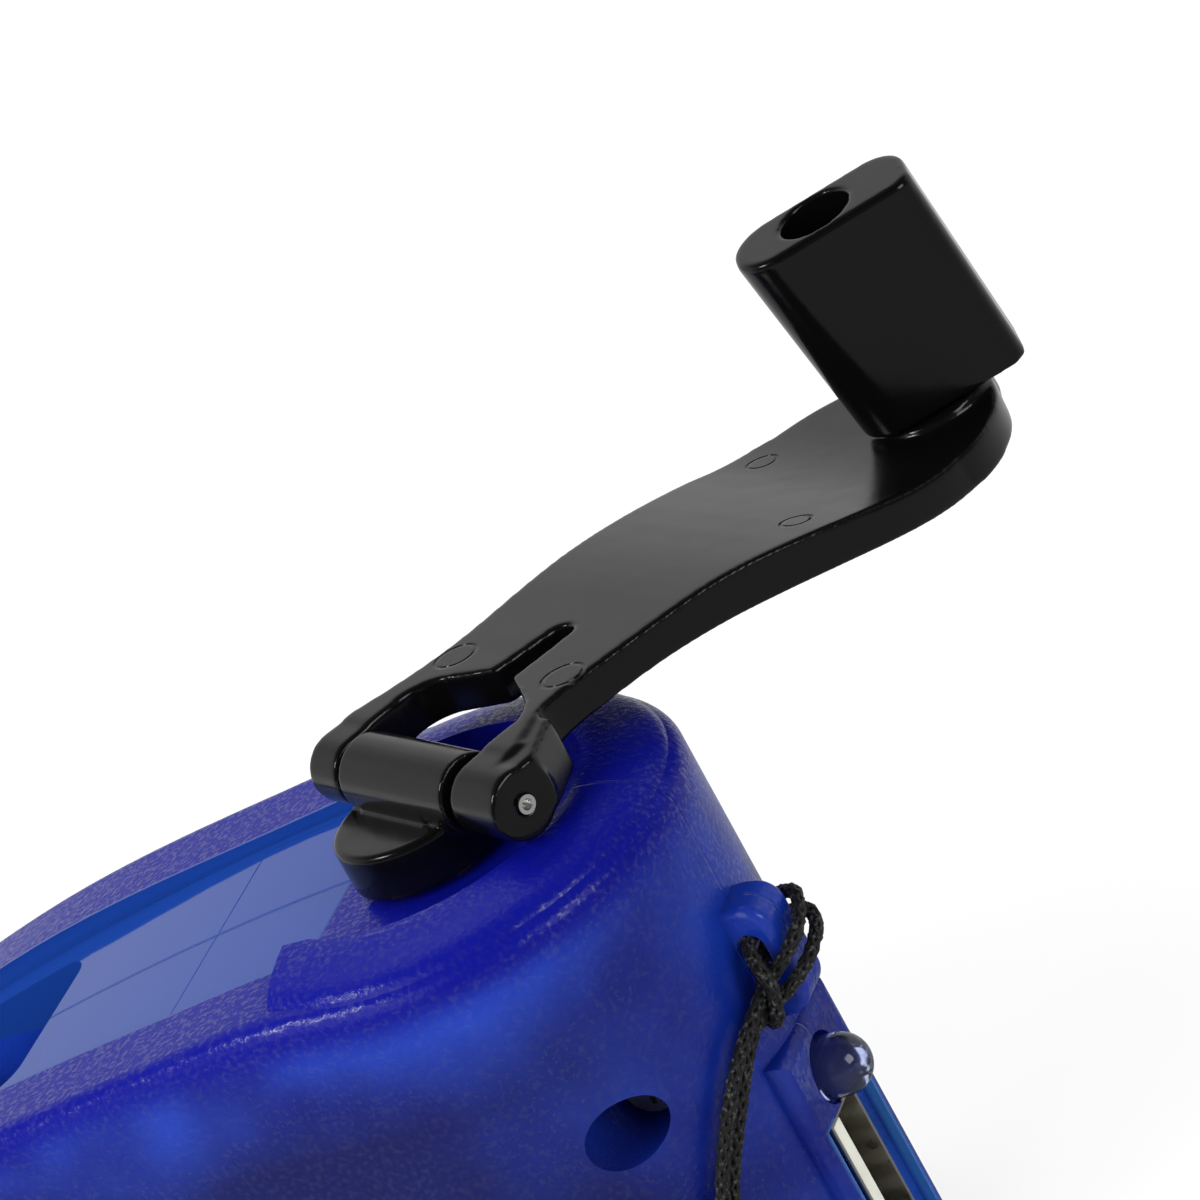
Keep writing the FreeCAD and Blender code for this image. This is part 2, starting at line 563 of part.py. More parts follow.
# ---- wires from the generator to the board ----
WIRE_R = 0.45


def wire(name, sign):
    pts = [(GEN_X + 0.95, sign * 7.0, 4.4), (-11.2, sign * 7.0, 4.4), (-8.4, sign * 7.5, 3.5), (-5.0, sign * 8.4, 3.0)]
    pts += [(-1.2, sign * 9.2, 2.95), (2.2, sign * 9.6, 3.1), (BOARD_X0, sign * 9.6, 3.1)]
    return cord(name, pts, WIRE_R)


wire_positive = wire("wire_positive", 1)
wire_negative = wire("wire_negative", -1)

# ---- crank arm, in a frame with +X along the arm and -Y towards the pin's visible end ----
HZ = DISC_TOP
TOP = [(3.6, 4.35), (9.0, 4.15), (14.0, 3.75), (20.0, 3.35), (28.0, 2.65), (34.0, 1.5), (40.0, -0.1), (45.0, -1.5)]
TOP += [(49.5, -2.25), (55.0, -2.4), (64.0, -2.3)]
LOW = [(64.0, -5.5), (57.0, -5.7), (52.0, -5.7), (44.0, -4.5), (37.5, -3.0), (30.0, -1.4), (21.0, 0.05)]
LOW += [(15.0, 0.45), (9.0, 0.6)]
# plan of the arm as (along, across): each side line runs from its ear to the round end
NEAR_SIDE = [(-4.0, 13.6), (HINGE_A, 13.6), (4.2, 12.9), (6.6, 11.4), (9.2, 10.2), (13.0, 9.7), (21.0, 9.7), (28.0, 9.9)]
NEAR_SIDE += [(34.0, 10.5), (40.0, 11.0), (46.0, 11.0), (51.0, 10.2)]
FAR_SIDE = [(51.0, -14.8), (45.0, -15.6), (39.0, -14.6), (32.5, -13.1), (26.4, -11.9), (20.0, -10.8), (15.0, -10.0)]
FAR_SIDE += [(11.0, -9.8), (8.0, -10.0), (4.0, -10.8), (HINGE_A, -EAR_FAR), (-4.0, -EAR_FAR)]
END_TIP = 62.6


def arm_slab(h0, h1):
    tp = [V(a, -h1, HZ + z) for a, z in TOP]
    lp = [V(a, -h1, HZ + z) for a, z in LOW]
    ct_ = Part.BSplineCurve()
    ct_.interpolate(tp)
    cl_ = Part.BSplineCurve()
    cl_.interpolate(lp)
    e = [ct_.toShape(), Part.makeLine(tp[-1], lp[0]), cl_.toShape()]
    last = V(3.6, -h1, HZ + 0.4)
    e += [Part.makeLine(lp[-1], last), Part.makeLine(last, tp[0])]
    return Part.Face(Part.Wire(e)).extrude(V(0, h1 - h0, 0))


def poly_prism(pts, z0, z1):
    vs = [V(a, -h, z0) for a, h in pts]
    vs.append(vs[0])
    return Part.Face(Part.makePolygon(vs)).extrude(V(0, 0, z1 - z0))


def arm_plan(z0, z1):
    near = Part.BSplineCurve()
    near.interpolate([V(a, -h, z0) for a, h in NEAR_SIDE])
    far = Part.BSplineCurve()
    far.interpolate([V(a, -h, z0) for a, h in FAR_SIDE])
    n0, n1 = V(NEAR_SIDE[0][0], -NEAR_SIDE[0][1], z0), V(NEAR_SIDE[-1][0], -NEAR_SIDE[-1][1], z0)
    f0, f1 = V(FAR_SIDE[0][0], -FAR_SIDE[0][1], z0), V(FAR_SIDE[-1][0], -FAR_SIDE[-1][1], z0)
    tip = V(END_TIP, (n1.y + f0.y) / 2.0, z0)
    e = [near.toShape(), Part.Arc(n1, tip, f0).toShape(), far.toShape(), Part.makeLine(f1, n0)]
    return Part.Face(Part.Wire(e)).extrude(V(0, 0, z1 - z0))


ARM_UNDER = HZ - 12.0
ARM_OVER = HZ + 12.0
arm = arm_slab(-EAR_NEAR, EAR_NEAR)
arm = arm.common(arm_plan(ARM_UNDER, ARM_OVER))
# the opening between the prongs, which ends in a narrow relief slot
GAP_NEAR = BARREL_H1 + EAR_GAP
GAP_FAR = BARREL_H0 - EAR_GAP
FORK = [(7.0, GAP_NEAR), (9.4, 7.0), (11.1, 3.6), (11.9, 1.9), (12.2, -0.7), (11.4, -2.6), (10.7, -4.2), (9.8, -5.9)]
FORK += [(8.4, -6.9), (6.0, GAP_FAR)]
FORK_BACK = -6.0
RELIEF_END = (17.9, 0.5)
RELIEF_R = 1.15
fork_line = Part.BSplineCurve()
fork_line.interpolate([V(a, -h, ARM_UNDER) for a, h in FORK])
corners = [FORK[-1], (FORK_BACK, GAP_FAR), (FORK_BACK, GAP_NEAR), FORK[0]]
fork = [fork_line.toShape()]
for (a0, h0), (a1, h1) in zip(corners, corners[1:]):
    fork.append(Part.makeLine(V(a0, -h0, ARM_UNDER), V(a1, -h1, ARM_UNDER)))
fork = Part.Face(Part.Wire(fork)).extrude(V(0, 0, ARM_OVER - ARM_UNDER))
end_a, end_h = RELIEF_END
relief = [(11.0, 2.3), (end_a, end_h + RELIEF_R), (end_a, end_h - RELIEF_R), (11.0, -0.9)]
fork = fork.fuse(poly_prism(relief, ARM_UNDER, ARM_OVER))
fork = fork.fuse(cyl(end_a, -end_h, ARM_UNDER, ARM_OVER, RELIEF_R))
# each ear is a round boss on the prong, and the near one has a raised cheek outside it
EAR_A1 = HINGE_A + 3.4
EAR_Z0 = HZ + 0.4
EAR_Z1 = HZ + 4.2
CHEEK = [(HINGE_A, 12.0), (HINGE_A, EAR_NEAR), (4.0, EAR_NEAR), (8.3, 12.0), (8.3, 10.0)]
far_ear = hcyl(-EAR_FAR, GAP_FAR, HINGE_A, HINGE_Z, EAR_R)
far_ear = far_ear.fuse(box(HINGE_A, EAR_A1, -GAP_FAR, EAR_FAR - 0.2, EAR_Z0, EAR_Z1))
near_ear = hcyl(GAP_NEAR, EAR_NEAR, HINGE_A, HINGE_Z, EAR_R)
near_ear = near_ear.fuse(box(HINGE_A, EAR_A1, -EAR_NEAR + 2.3, -GAP_NEAR, EAR_Z0, EAR_Z1))
cheek = poly_prism(CHEEK, HZ - 0.7, HZ + 4.0)
arm = arm.cut(fork)
arm = arm.fuse(far_ear).fuse(near_ear).fuse(cheek)
arm = arm.cut(hcyl(GAP_FAR, GAP_NEAR, HINGE_A, HINGE_Z, BARREL_R + 0.5))
arm = arm.cut(hcyl(-EAR_NEAR - 1, EAR_NEAR + 1, HINGE_A, HINGE_Z, PIN_R))
lean = math.degrees(math.atan2(KNOB_A0 - KNOB_A1, KNOB_Z1 - KNOB_Z0))
ax = V(KNOB_A1 - KNOB_A0, 0, KNOB_Z1 - KNOB_Z0)
ax.normalize()
K0 = V(KNOB_A0, 0, KNOB_Z0)


BOSS_R = 5.2


def kcyl(s0, s1, r):
    return Part.makeCylinder(r, s1 - s0, K0 + ax * s0, ax)


arm = arm.fuse(kcyl(-3.2, -0.15, BOSS_R))
arm = arm.cut(kcyl(-12, 3, 1.4))
crank_arm = crank_place(arm.removeSplitter())

pin = hcyl(-EAR_FAR + 1.1, EAR_NEAR + 0.2, HINGE_A, HINGE_Z, PIN_R)
pin = pin.cut(hcyl(EAR_NEAR - 1.1, EAR_NEAR + 1, HINGE_A, HINGE_Z, PIN_R - 0.3))
hinge_pin = crank_place(pin)


KNOB_BACK = 7.4
KNOB_FOOT_BACK = 5.9
KNOB_FRONT = 8.6
KNOB_THICK = 8.8
KNOB_TAPER = 1.0
KNOB_BACK_R = 3.6
KNOB_FRONT_R = 1.7
KNOB_FAR_R = 3.2


def knob_section(z, draft, back):
    """Rounded oblong across the knob: the end towards the hinge is nearly a half round, the other is squarer."""
    front = KNOB_FRONT - draft
    ht = KNOB_THICK / 2.0 - draft
    r = KNOB_BACK_R
    q = KNOB_FRONT_R
    w = KNOB_FAR_R
    pts = [(-back + r, -ht), (front - q, -ht), (front, -ht + q), (front, ht - w), (front - w, ht), (-back + r, ht)]
    pts += [(-back, ht - r), (-back, -ht + r)]
    c = r * (1 - math.sqrt(0.5))
    d = q * (1 - math.sqrt(0.5))
    g = w * (1 - math.sqrt(0.5))
    mids = [(front - d, -ht + d), (front - g, ht - g), (-back + c, ht - c), (-back + c, -ht + c)]
    P = [V(x, y, z) for x, y in pts]
    M = [V(x, y, z) for x, y in mids]
    e = [Part.makeLine(P[0], P[1]), Part.Arc(P[1], M[0], P[2]).toShape(), Part.makeLine(P[2], P[3])]
    e += [Part.Arc(P[3], M[1], P[4]).toShape(), Part.makeLine(P[4], P[5]), Part.Arc(P[5], M[2], P[6]).toShape()]
    e += [Part.makeLine(P[6], P[7]), Part.Arc(P[7], M[3], P[0]).toShape()]
    return Part.Wire(e)


KL = (KNOB_Z1 - KNOB_Z0) / math.cos(math.radians(lean))
kn = Part.makeLoft([knob_section(0, 0.0, KNOB_FOOT_BACK), knob_section(KL, KNOB_TAPER / 2.0, KNOB_BACK)], True, True)
kn = soften(kn, [e for e in kn.Edges if e.BoundBox.ZMin > KL - 0.01], 0.5)
kn = kn.cut(cyl(0, 0, KL - 6.0, KL + 1, 3.05))
kn = kn.cut(cyl(0, 0, -1, KL, SPINDLE_R + RUN))
kn.rotate(V(0, 0, 0), V(0, 0, 1), -32.0)
kn.rotate(V(0, 0, 0), V(0, 1, 0), -lean)
kn.translate(K0)
knob = crank_place(kn)
sp = kcyl(-0.15, KL - 6.0 + 0.12, SPINDLE_R).fuse(kcyl(-5.4, -0.15, 1.4))
sp = sp.cut(kcyl(KL - 14, KL, 0.8))
knob_spindle = crank_place(sp)
ks = kcyl(KL - 5.85, KL - 4.2, 2.85).fuse(kcyl(KL - 13, KL - 5.85, 0.78))
t1 = Part.makeBox(3.6, 0.5, 3, V(-1.8, -0.25, KL - 4.9))
t2 = Part.makeBox(0.5, 3.6, 3, V(-0.25, -1.8, KL - 4.9))
for t in (t1, t2):
    t.rotate(V(0, 0, 0), V(0, 1, 0), -lean)
    t.translate(K0)
    ks = ks.cut(t)
knob_screw = crank_place(ks)

# ---- lanyard: a loop of cord hitched to the lug, both strands down to a coil beside the case ----
HITCH = [(22.3, -4.9, 29.0), (22.3, -4.9, 31.4), (21.9, -3.4, 33.3), (21.9, -0.8, 34.0), (21.9, 2.0, 34.0)]
HITCH += [(22.9, 4.2, 33.8), (24.9, 4.3, 33.4), (26.2, 2.0, 32.6), (26.3, -1.0, 31.6), (25.5, -3.6, 30.8), (24.0, -5.4, 30.4)]
lanyard_hitch = cord("lanyard_hitch", HITCH, CORD_R)
OUT = [(23.4, -6.6, 29.8), (22.0, -9.6, 28.2), (20.6, -12.2, 25.2), (19.2, -14.5, 21.3), (18.4, -17.0, 16.5)]
OUT += [(18.4, -20.0, 11.5), (19.0, -22.8, 7.4), (19.9, -25.2, 4.3), (21.0, -27.8, 2.2)]
BACK = [(x + 1.4, y - 0.35, z + 0.1) for x, y, z in reversed(OUT)]
lanyard_cord = group([cord("lanyard strand out", OUT, CORD_R), cord("lanyard strand back", BACK, CORD_R)])
COIL_X = 21.8
COIL_Y = -34.0
COIL_RING = 6.0
COIL_R = 1.9
lanyard_coil = Part.makeTorus(COIL_RING, COIL_R, V(COIL_X, COIL_Y, COIL_R), V(0, 0, 1))

NODES = dict(case_near=case_near, case_far=case_far, case_screws=case_screws, crank_hub=crank_hub,
             hub_bush=hub_bush, drive_gear=drive_gear, hub_screw=hub_screw, compound_gear_1=compound_gear_1,
             compound_gear_2=compound_gear_2, gear_pin_1=gear_pin_1, gear_pin_2=gear_pin_2, pin_clip=pin_clip,
             gear_plate=gear_plate, gear_bridge=gear_bridge, gear_pillars=gear_pillars,
             pillar_screws=pillar_screws, generator_can=generator_can, generator_end_cap=generator_end_cap,
             generator_bushes=generator_bushes, generator_magnets=generator_magnets,
             generator_shaft=generator_shaft, rotor_core=rotor_core, rotor_windings=rotor_windings,
             commutator=commutator, generator_brushes=generator_brushes,
             generator_terminals=generator_terminals, generator_pinion=generator_pinion,
             generator_screws=generator_screws, circuit_board=circuit_board,
             rectifier_diodes=rectifier_diodes, capacitor=capacitor, voltage_regulator=voltage_regulator,
             inductor=inductor, usb_shell=usb_shell, usb_tongue=usb_tongue, usb_contacts=usb_contacts,
             led_lamp=led_lamp, led_leads=led_leads, wire_positive=wire_positive,
             wire_negative=wire_negative, crank_arm=crank_arm, hinge_pin=hinge_pin, knob=knob,
             knob_spindle=knob_spindle, knob_screw=knob_screw, lanyard_hitch=lanyard_hitch,
             lanyard_cord=lanyard_cord, lanyard_coil=lanyard_coil)

os.makedirs("parts", exist_ok=True)
for name, shape in NODES.items():
    n = len(shape.Solids)
    bb = shape.BoundBox
    print("%-20s solids %d valid %s vol %.1f  x %.1f %.1f y %.1f %.1f z %.1f %.1f" % (
        name, n, shape.isValid(), shape.Volume, bb.XMin, bb.XMax, bb.YMin, bb.YMax, bb.ZMin, bb.ZMax))
    shape.exportStep("parts/%s.step" % name)
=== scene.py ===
import math
import bmesh
import bpy
from mathutils import Matrix, Vector


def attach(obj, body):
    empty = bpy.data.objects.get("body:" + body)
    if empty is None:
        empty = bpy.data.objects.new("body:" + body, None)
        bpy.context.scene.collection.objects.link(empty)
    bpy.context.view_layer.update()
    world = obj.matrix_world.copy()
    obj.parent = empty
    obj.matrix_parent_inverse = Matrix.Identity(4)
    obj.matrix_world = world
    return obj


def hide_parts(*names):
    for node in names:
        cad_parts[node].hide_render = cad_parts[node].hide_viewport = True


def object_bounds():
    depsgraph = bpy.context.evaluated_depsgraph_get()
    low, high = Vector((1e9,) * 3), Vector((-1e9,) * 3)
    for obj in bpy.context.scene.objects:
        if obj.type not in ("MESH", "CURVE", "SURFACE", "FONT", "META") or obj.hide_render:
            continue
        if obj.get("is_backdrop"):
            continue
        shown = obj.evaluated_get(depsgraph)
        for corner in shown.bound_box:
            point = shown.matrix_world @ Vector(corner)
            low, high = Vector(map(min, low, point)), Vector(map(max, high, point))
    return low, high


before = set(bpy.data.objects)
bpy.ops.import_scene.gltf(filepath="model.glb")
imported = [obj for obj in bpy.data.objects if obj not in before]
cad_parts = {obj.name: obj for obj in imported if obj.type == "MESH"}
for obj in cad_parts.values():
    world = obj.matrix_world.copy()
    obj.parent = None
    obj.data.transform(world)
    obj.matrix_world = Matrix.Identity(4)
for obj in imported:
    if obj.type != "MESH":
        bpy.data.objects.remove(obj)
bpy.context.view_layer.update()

# ---------------------------------------------------------------- camera
# A long lens looks down on the crank from the front left corner, and leans over, so that the case
# runs out of the lower left of the frame.
EYE = Vector((0.205125, -0.304111, 0.211500))
LOOK = Vector((-0.473351, 0.792869, -0.383793))
LEAN = math.radians(-28.785)
LENS = 158.4
SENSOR = 36.0
CLIP_NEAR = 0.01
CLIP_FAR = 20.0
camera_data = bpy.data.cameras.new("camera")
camera_data.lens = LENS
camera_data.sensor_width = SENSOR
camera_data.clip_start = CLIP_NEAR
camera_data.clip_end = CLIP_FAR
camera = bpy.data.objects.new("camera", camera_data)
bpy.context.collection.objects.link(camera)
camera.location = EYE
level = LOOK.to_track_quat("-Z", "Y").to_matrix()
camera.rotation_euler = (level @ Matrix.Rotation(LEAN, 3, "Z")).to_euler()
bpy.context.scene.camera = camera
bpy.context.scene.view_settings.view_transform = "Standard"


# ---------------------------------------------------------------- lanyard hitch
# The loop of braided nylon cord is girth-hitched to the lug: its bight comes out of the slot and
# down over both strands, which come round the outside of the lug and through it.
MM = 0.001


def metres(points):
    return [Vector(p) / 1000.0 for p in points]


def cord_line(name, points):
    """A smooth open curve with those points as its control points."""
    data = bpy.data.curves.new(name, "CURVE")
    data.dimensions = "3D"
    data.resolution_u = 8
    line = data.splines.new("NURBS")
    line.points.add(len(points) - 1)
    for place, point in zip(line.points, points):
        place.co = (*point, 1.0)
    line.order_u = 3
    line.use_endpoint_u = True
    shown = bpy.data.objects.new(name, data)
    bpy.context.collection.objects.link(shown)
    bpy.context.view_layer.update()
    mesh = bpy.data.meshes.new_from_object(shown)
    path = [v.co.copy() for v in mesh.vertices]
    bpy.data.objects.remove(shown)
    bpy.data.meshes.remove(mesh)
    return path


# the braid, in metres: the yarns and their radius, the circle they are wound on, how far they lift
# to pass over one another, the length of one wind with its rings, and the start of the odd yarns
STRANDS = 8
STRAND_R = 0.00021
BRAID_R = 0.00037
BRAID_LIFT = 0.00005
BRAID_PITCH = 0.0050
PITCH_RINGS = 14.0
ODD_START = 0.25


def braid(name, path):
    """Eight yarns wound both ways round the path, each passing over one and under one."""
    data = bpy.data.curves.new(name, "CURVE")
    data.dimensions = "3D"
    data.bevel_depth = STRAND_R
    data.bevel_resolution = 1
    data.use_fill_caps = True
    data.resolution_u = 1
    step = BRAID_PITCH / PITCH_RINGS
    reach = [0.0]
    for a, b in zip(path, path[1:]):
        reach.append(reach[-1] + (b - a).length)
    count = int(reach[-1] / step)
    rings = []
    side = None
    at = 0
    for k in range(count + 1):
        s = reach[-1] * k / count
        while at < len(path) - 2 and reach[at + 1] < s:
            at += 1
        along = (path[at + 1] - path[at]).normalized()
        place = path[at].lerp(path[at + 1], (s - reach[at]) / max(reach[at + 1] - reach[at], 1e-9))
        if side is None:
            side = along.orthogonal().normalized()
        side = (side - along * side.dot(along)).normalized()
        rings.append((s, place, side.copy(), along.cross(side)))
    for n in range(STRANDS):
        hand = 1.0 if n % 2 else -1.0
        start = 2.0 * math.pi * (n // 2) / (STRANDS // 2) + (ODD_START if n % 2 else 0.0)
        yarn = data.splines.new("POLY")
        yarn.points.add(len(rings) - 1)
        for place, (s, centre, u, v) in zip(yarn.points, rings):
            turn = start + hand * 2.0 * math.pi * s / BRAID_PITCH
            over = math.cos(STRANDS // 2 * 2.0 * math.pi * s / BRAID_PITCH + math.pi * (n // 2))
            r = BRAID_R + hand * BRAID_LIFT * over
            place.co = (*(centre + r * (math.cos(turn) * u + math.sin(turn) * v)), 1.0)
    made = bpy.data.objects.new(name + "_yarns", data)
    bpy.context.collection.objects.link(made)
    bpy.context.view_layer.update()
    mesh = bpy.data.meshes.new_from_object(made)
    bpy.data.objects.remove(made)
    piece = bpy.data.objects.new(name, mesh)
    bpy.context.collection.objects.link(piece)
    for polygon in mesh.polygons:
        polygon.use_smooth = True
    return piece


def linear(text):
    """An sRGB hex colour as linear red, green, blue and alpha."""
    parts = [int(text[i:i + 2], 16) / 255.0 for i in (1, 3, 5)]
    return tuple(c / 12.92 if c <= 0.04045 else ((c + 0.055) / 1.055) ** 2.4 for c in parts) + (1.0,)


def node(tree, kind, inputs=None, **settings):
    """Adds a node; inputs holds a value or another node's output for each of its sockets."""
    made = tree.nodes.new(kind)
    for name, value in settings.items():
        setattr(made, name, value)
    for name, value in (inputs or {}).items():
        if isinstance(value, bpy.types.NodeSocket):
            tree.links.new(value, made.inputs[name])
        else:
            made.inputs[name].default_value = value
    return made


def finish_named(name, principled):
    """A new material with one Principled shader, whose fixed sockets are given."""
    material = bpy.data.materials.new(name)
    material.use_nodes = True
    tree = material.node_tree
    tree.nodes.clear()
    shader = node(tree, "ShaderNodeBsdfPrincipled", principled)
    node(tree, "ShaderNodeOutputMaterial", {"Surface": shader.outputs[0]})
    return material, tree, shader


def drift(tree, cell, detail, dark, light, low=0.0, high=1.0):
    """A colour that wanders between two tones, in patches about the size of a cell."""
    place = node(tree, "ShaderNodeTexCoord").outputs["Object"]
    cloud = node(tree, "ShaderNodeTexNoise", {"Vector": place, "Scale": 1 / cell, "Detail": detail})
    tone = node(tree, "ShaderNodeValToRGB", {"Fac": cloud.outputs["Fac"]})
    tone.color_ramp.elements[0].position = low
    tone.color_ramp.elements[0].color = linear(dark)
    tone.color_ramp.elements[1].position = high
    tone.color_ramp.elements[1].color = linear(light)
    return tone.outputs["Color"]


# Braided nylon: matt black yarn with a little sheen, and paler fibres that catch the light as flecks.
braided_nylon, tree, shader = finish_named("braided_nylon", {
    "Roughness": 0.62, "IOR": 1.53, "Sheen Weight": 0.12, "Sheen Roughness": 0.4,
    "Sheen Tint": linear("#8a8a88")})
flecks = drift(tree, 0.35 * MM, 2.0, "#0b0b0c", "#3c3c3b", 0.56, 0.68)
tree.links.new(flecks, shader.inputs["Base Color"])
place = node(tree, "ShaderNodeTexCoord").outputs["Object"]
fibre = node(tree, "ShaderNodeTexNoise", {"Vector": place, "Scale": 1 / (0.12 * MM), "Detail": 1.0})
rough = node(tree, "ShaderNodeBump", {"Height": fibre.outputs["Fac"], "Strength": 0.5, "Distance": 0.05 * MM})
tree.links.new(rough.outputs["Normal"], shader.inputs["Normal"])

HITCH = metres([
    (21.3, -6.0, 30.5), (21.9, -4.6, 31.3), (23.0, -4.0, 32.2), (24.6, -3.2, 33.3), (25.4, -1.2, 34.0),
    (25.3, 0.9, 34.6), (24.4, 3.4, 35.0), (22.6, 3.7, 34.9), (21.9, 2.2, 34.3), (21.9, -0.4, 34.5),
    (22.0, -2.8, 34.9), (22.7, -4.3, 34.1), (23.5, -4.9, 32.3), (23.1, -5.2, 30.3), (22.3, -5.0, 28.9),
    (21.5, -4.2, 29.0), (21.6, -3.4, 30.6), (21.9, -3.0, 32.0), (21.9, -1.4, 32.9), (21.9, 1.4, 32.9),
    (22.6, 3.5, 33.2), (24.4, 3.6, 33.2), (25.7, 1.8, 32.8), (25.8, -0.6, 32.2), (25.0, -2.7, 31.4),
    (23.4, -3.9, 30.6), (22.0, -4.2, 29.9), (21.1, -5.2, 29.4)])
hitch_path = cord_line("hitch_line", HITCH)
hitch = braid("lanyard_hitch_loops", hitch_path)
hitch.data.materials.append(braided_nylon)
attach(hitch, "case")
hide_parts("lanyard_hitch")


# ---------------------------------------------------------------- lanyard loop
# The rest of the wrist loop, one length of the same cord: down the end of the case in two strands,
# and laid up in a small coil beside the base.
DOWN = [(22.3, -4.3, 31.6), (21.31, -6.56, 30.47), (20.61, -8.52, 29.58), (19.73, -10.4, 28.03),
        (18.77, -12.05, 26.12), (17.6, -13.9, 23.4), (16.8, -15.3, 21.0), (16.3, -17.2, 17.2),
        (16.4, -19.6, 12.4), (16.6, -22.2, 8.0), (16.6, -25.0, 4.4), (16.2, -28.0, 2.0)]
UP = [(24.6, -28.0, 2.2), (22.0, -24.6, 5.0), (19.9, -21.6, 8.6), (18.6, -18.9, 12.6),
      (17.6, -16.4, 17.4), (16.95, -13.9, 20.6), (17.67, -12.4, 22.6), (18.81, -10.6, 25.1),
      (19.63, -8.9, 27.0), (20.34, -7.1, 28.6), (20.9, -5.4, 29.6), (22.0, -4.1, 30.3)]
COIL_X = 21.8
COIL_Y = -34.0
COIL_RING = 6.0
COIL_START = math.radians(165.0)
# the last turn stops this part of a turn short, where the strand leaves the coil
COIL_SHORT = 0.375
TURN_POINTS = 14
# the seats of the turns in the bundle, as radius and height round the ring
SEATS = [(-0.62, 0.75), (0.64, 0.75), (1.26, 1.86), (0.0, 1.86), (-1.26, 1.86), (-0.64, 2.96)]


def coil_points():
    points = []
    steps = len(SEATS) * TURN_POINTS
    for k in range(steps + 1):
        seat = k / TURN_POINTS
        low = min(int(seat), len(SEATS) - 1)
        high = min(low + 1, len(SEATS) - 1)
        part = seat - low
        out = SEATS[low][0] + (SEATS[high][0] - SEATS[low][0]) * part
        up = SEATS[low][1] + (SEATS[high][1] - SEATS[low][1]) * part
        turn = COIL_START + 2.0 * math.pi * (k / TURN_POINTS) * (1.0 - COIL_SHORT / len(SEATS))
        r = COIL_RING + out
        points.append((COIL_X + r * math.cos(turn), COIL_Y + r * math.sin(turn), up))
    return points


loop_path = cord_line("loop_line", metres(DOWN + coil_points() + UP))
loop = braid("lanyard_loop", loop_path)
loop.data.materials.append(braided_nylon)
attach(loop, "case")
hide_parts("lanyard_cord", "lanyard_coil")


def dress(material, *names):
    """Puts a material on CAD nodes, whose shapes are left as they are."""
    for name in names:
        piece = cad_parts[name]
        piece.data.materials.clear()
        piece.data.materials.append(material)
        for polygon in piece.data.polygons:
            polygon.material_index = 0


# ---------------------------------------------------------------- case halves
# Two shells of see-through blue polycarbonate, injection moulded, meeting on the middle plane and
# held by four screws. The collar and the rims are spark-textured, the channel between is polished.
blue_polycarbonate, tree, shader = finish_named("blue_polycarbonate", {"IOR": 1.58})
place = node(tree, "ShaderNodeTexCoord").outputs["Object"]
axes = node(tree, "ShaderNodeSeparateXYZ", {"Vector": place})
aside = node(tree, "ShaderNodeMath", {0: axes.outputs["Y"]}, operation="ABSOLUTE").outputs[0]
# depth: how far a point lies below the top, which is level round the hub and, from CREST_X behind
# its axis on, falls by CREST_FALL times the square of the way (in metres; other sizes are in mm)
CREST_X = 3.0
CREST_Z = 48.2
CREST_FALL = 2.9
aft = node(tree, "ShaderNodeMath", {0: axes.outputs["X"], 1: CREST_X * MM}, operation="ADD")
aft = node(tree, "ShaderNodeMath", {0: aft.outputs[0], 1: 0.0}, operation="MINIMUM")
aft = node(tree, "ShaderNodeMath", {0: aft.outputs[0], 1: 2.0}, operation="POWER")
crest = node(tree, "ShaderNodeMath", {0: aft.outputs[0], 1: -CREST_FALL, 2: CREST_Z * MM},
             operation="MULTIPLY_ADD")
depth = node(tree, "ShaderNodeMath", {0: crest.outputs[0], 1: axes.outputs["Z"]}, operation="SUBTRACT")
# tint: royal blue down the sides, with paler drifts where the resin flowed thin
tone = drift(tree, 14 * MM, 2.0, "#0a1f88", "#1a42bc", 0.35, 0.65)
# painted shade: the tint is darkened in soft patches, more lower down and less towards the lamp end, standing
# in for the shade of the works behind the wall
SHADE_CELL = 19
SHADE_DEPTH = (4.5, 12.0)
SHADE_X = (12.0, 19.0)
patch = node(tree, "ShaderNodeTexNoise", {"Vector": place, "Scale": 1 / (SHADE_CELL * MM), "Detail": 1.3})
patch = node(tree, "ShaderNodeMapRange", {"Value": patch.outputs["Fac"], "From Min": 0.28, "From Max": 0.58,
                                          "To Min": 0.5}, interpolation_type="SMOOTHSTEP")
lower = node(tree, "ShaderNodeMapRange", {"Value": depth.outputs[0], "From Min": SHADE_DEPTH[0] * MM,
                                          "From Max": SHADE_DEPTH[1] * MM, "To Max": 0.92})
shade = node(tree, "ShaderNodeMath", {0: patch.outputs[0], 1: lower.outputs[0]}, operation="MULTIPLY")
inner = node(tree, "ShaderNodeMapRange", {"Value": axes.outputs["X"], "From Min": SHADE_X[0] * MM,
                                          "From Max": SHADE_X[1] * MM, "To Min": 1.0, "To Max": 0.15})
shade = node(tree, "ShaderNodeMath", {0: shade.outputs[0], 1: inner.outputs[0]}, operation="MULTIPLY")
# the painted shade is mixed into the tint here
tone = node(tree, "ShaderNodeMix", {0: shade.outputs[0], 6: tone, 7: linear("#0d1152")},
            data_type="RGBA")
# indigo in the thick collar and rims, which gives way to the tint over these depths
RIM_DEPTH = (1.5, 5.0)
thin = node(tree, "ShaderNodeMapRange", {"Value": depth.outputs[0], "From Min": RIM_DEPTH[0] * MM,
                                         "From Max": RIM_DEPTH[1] * MM}, interpolation_type="SMOOTHSTEP")
tint = node(tree, "ShaderNodeMix", {0: thin.outputs[0], 6: linear("#080e78"), 7: tone.outputs[2]},
            data_type="RGBA")
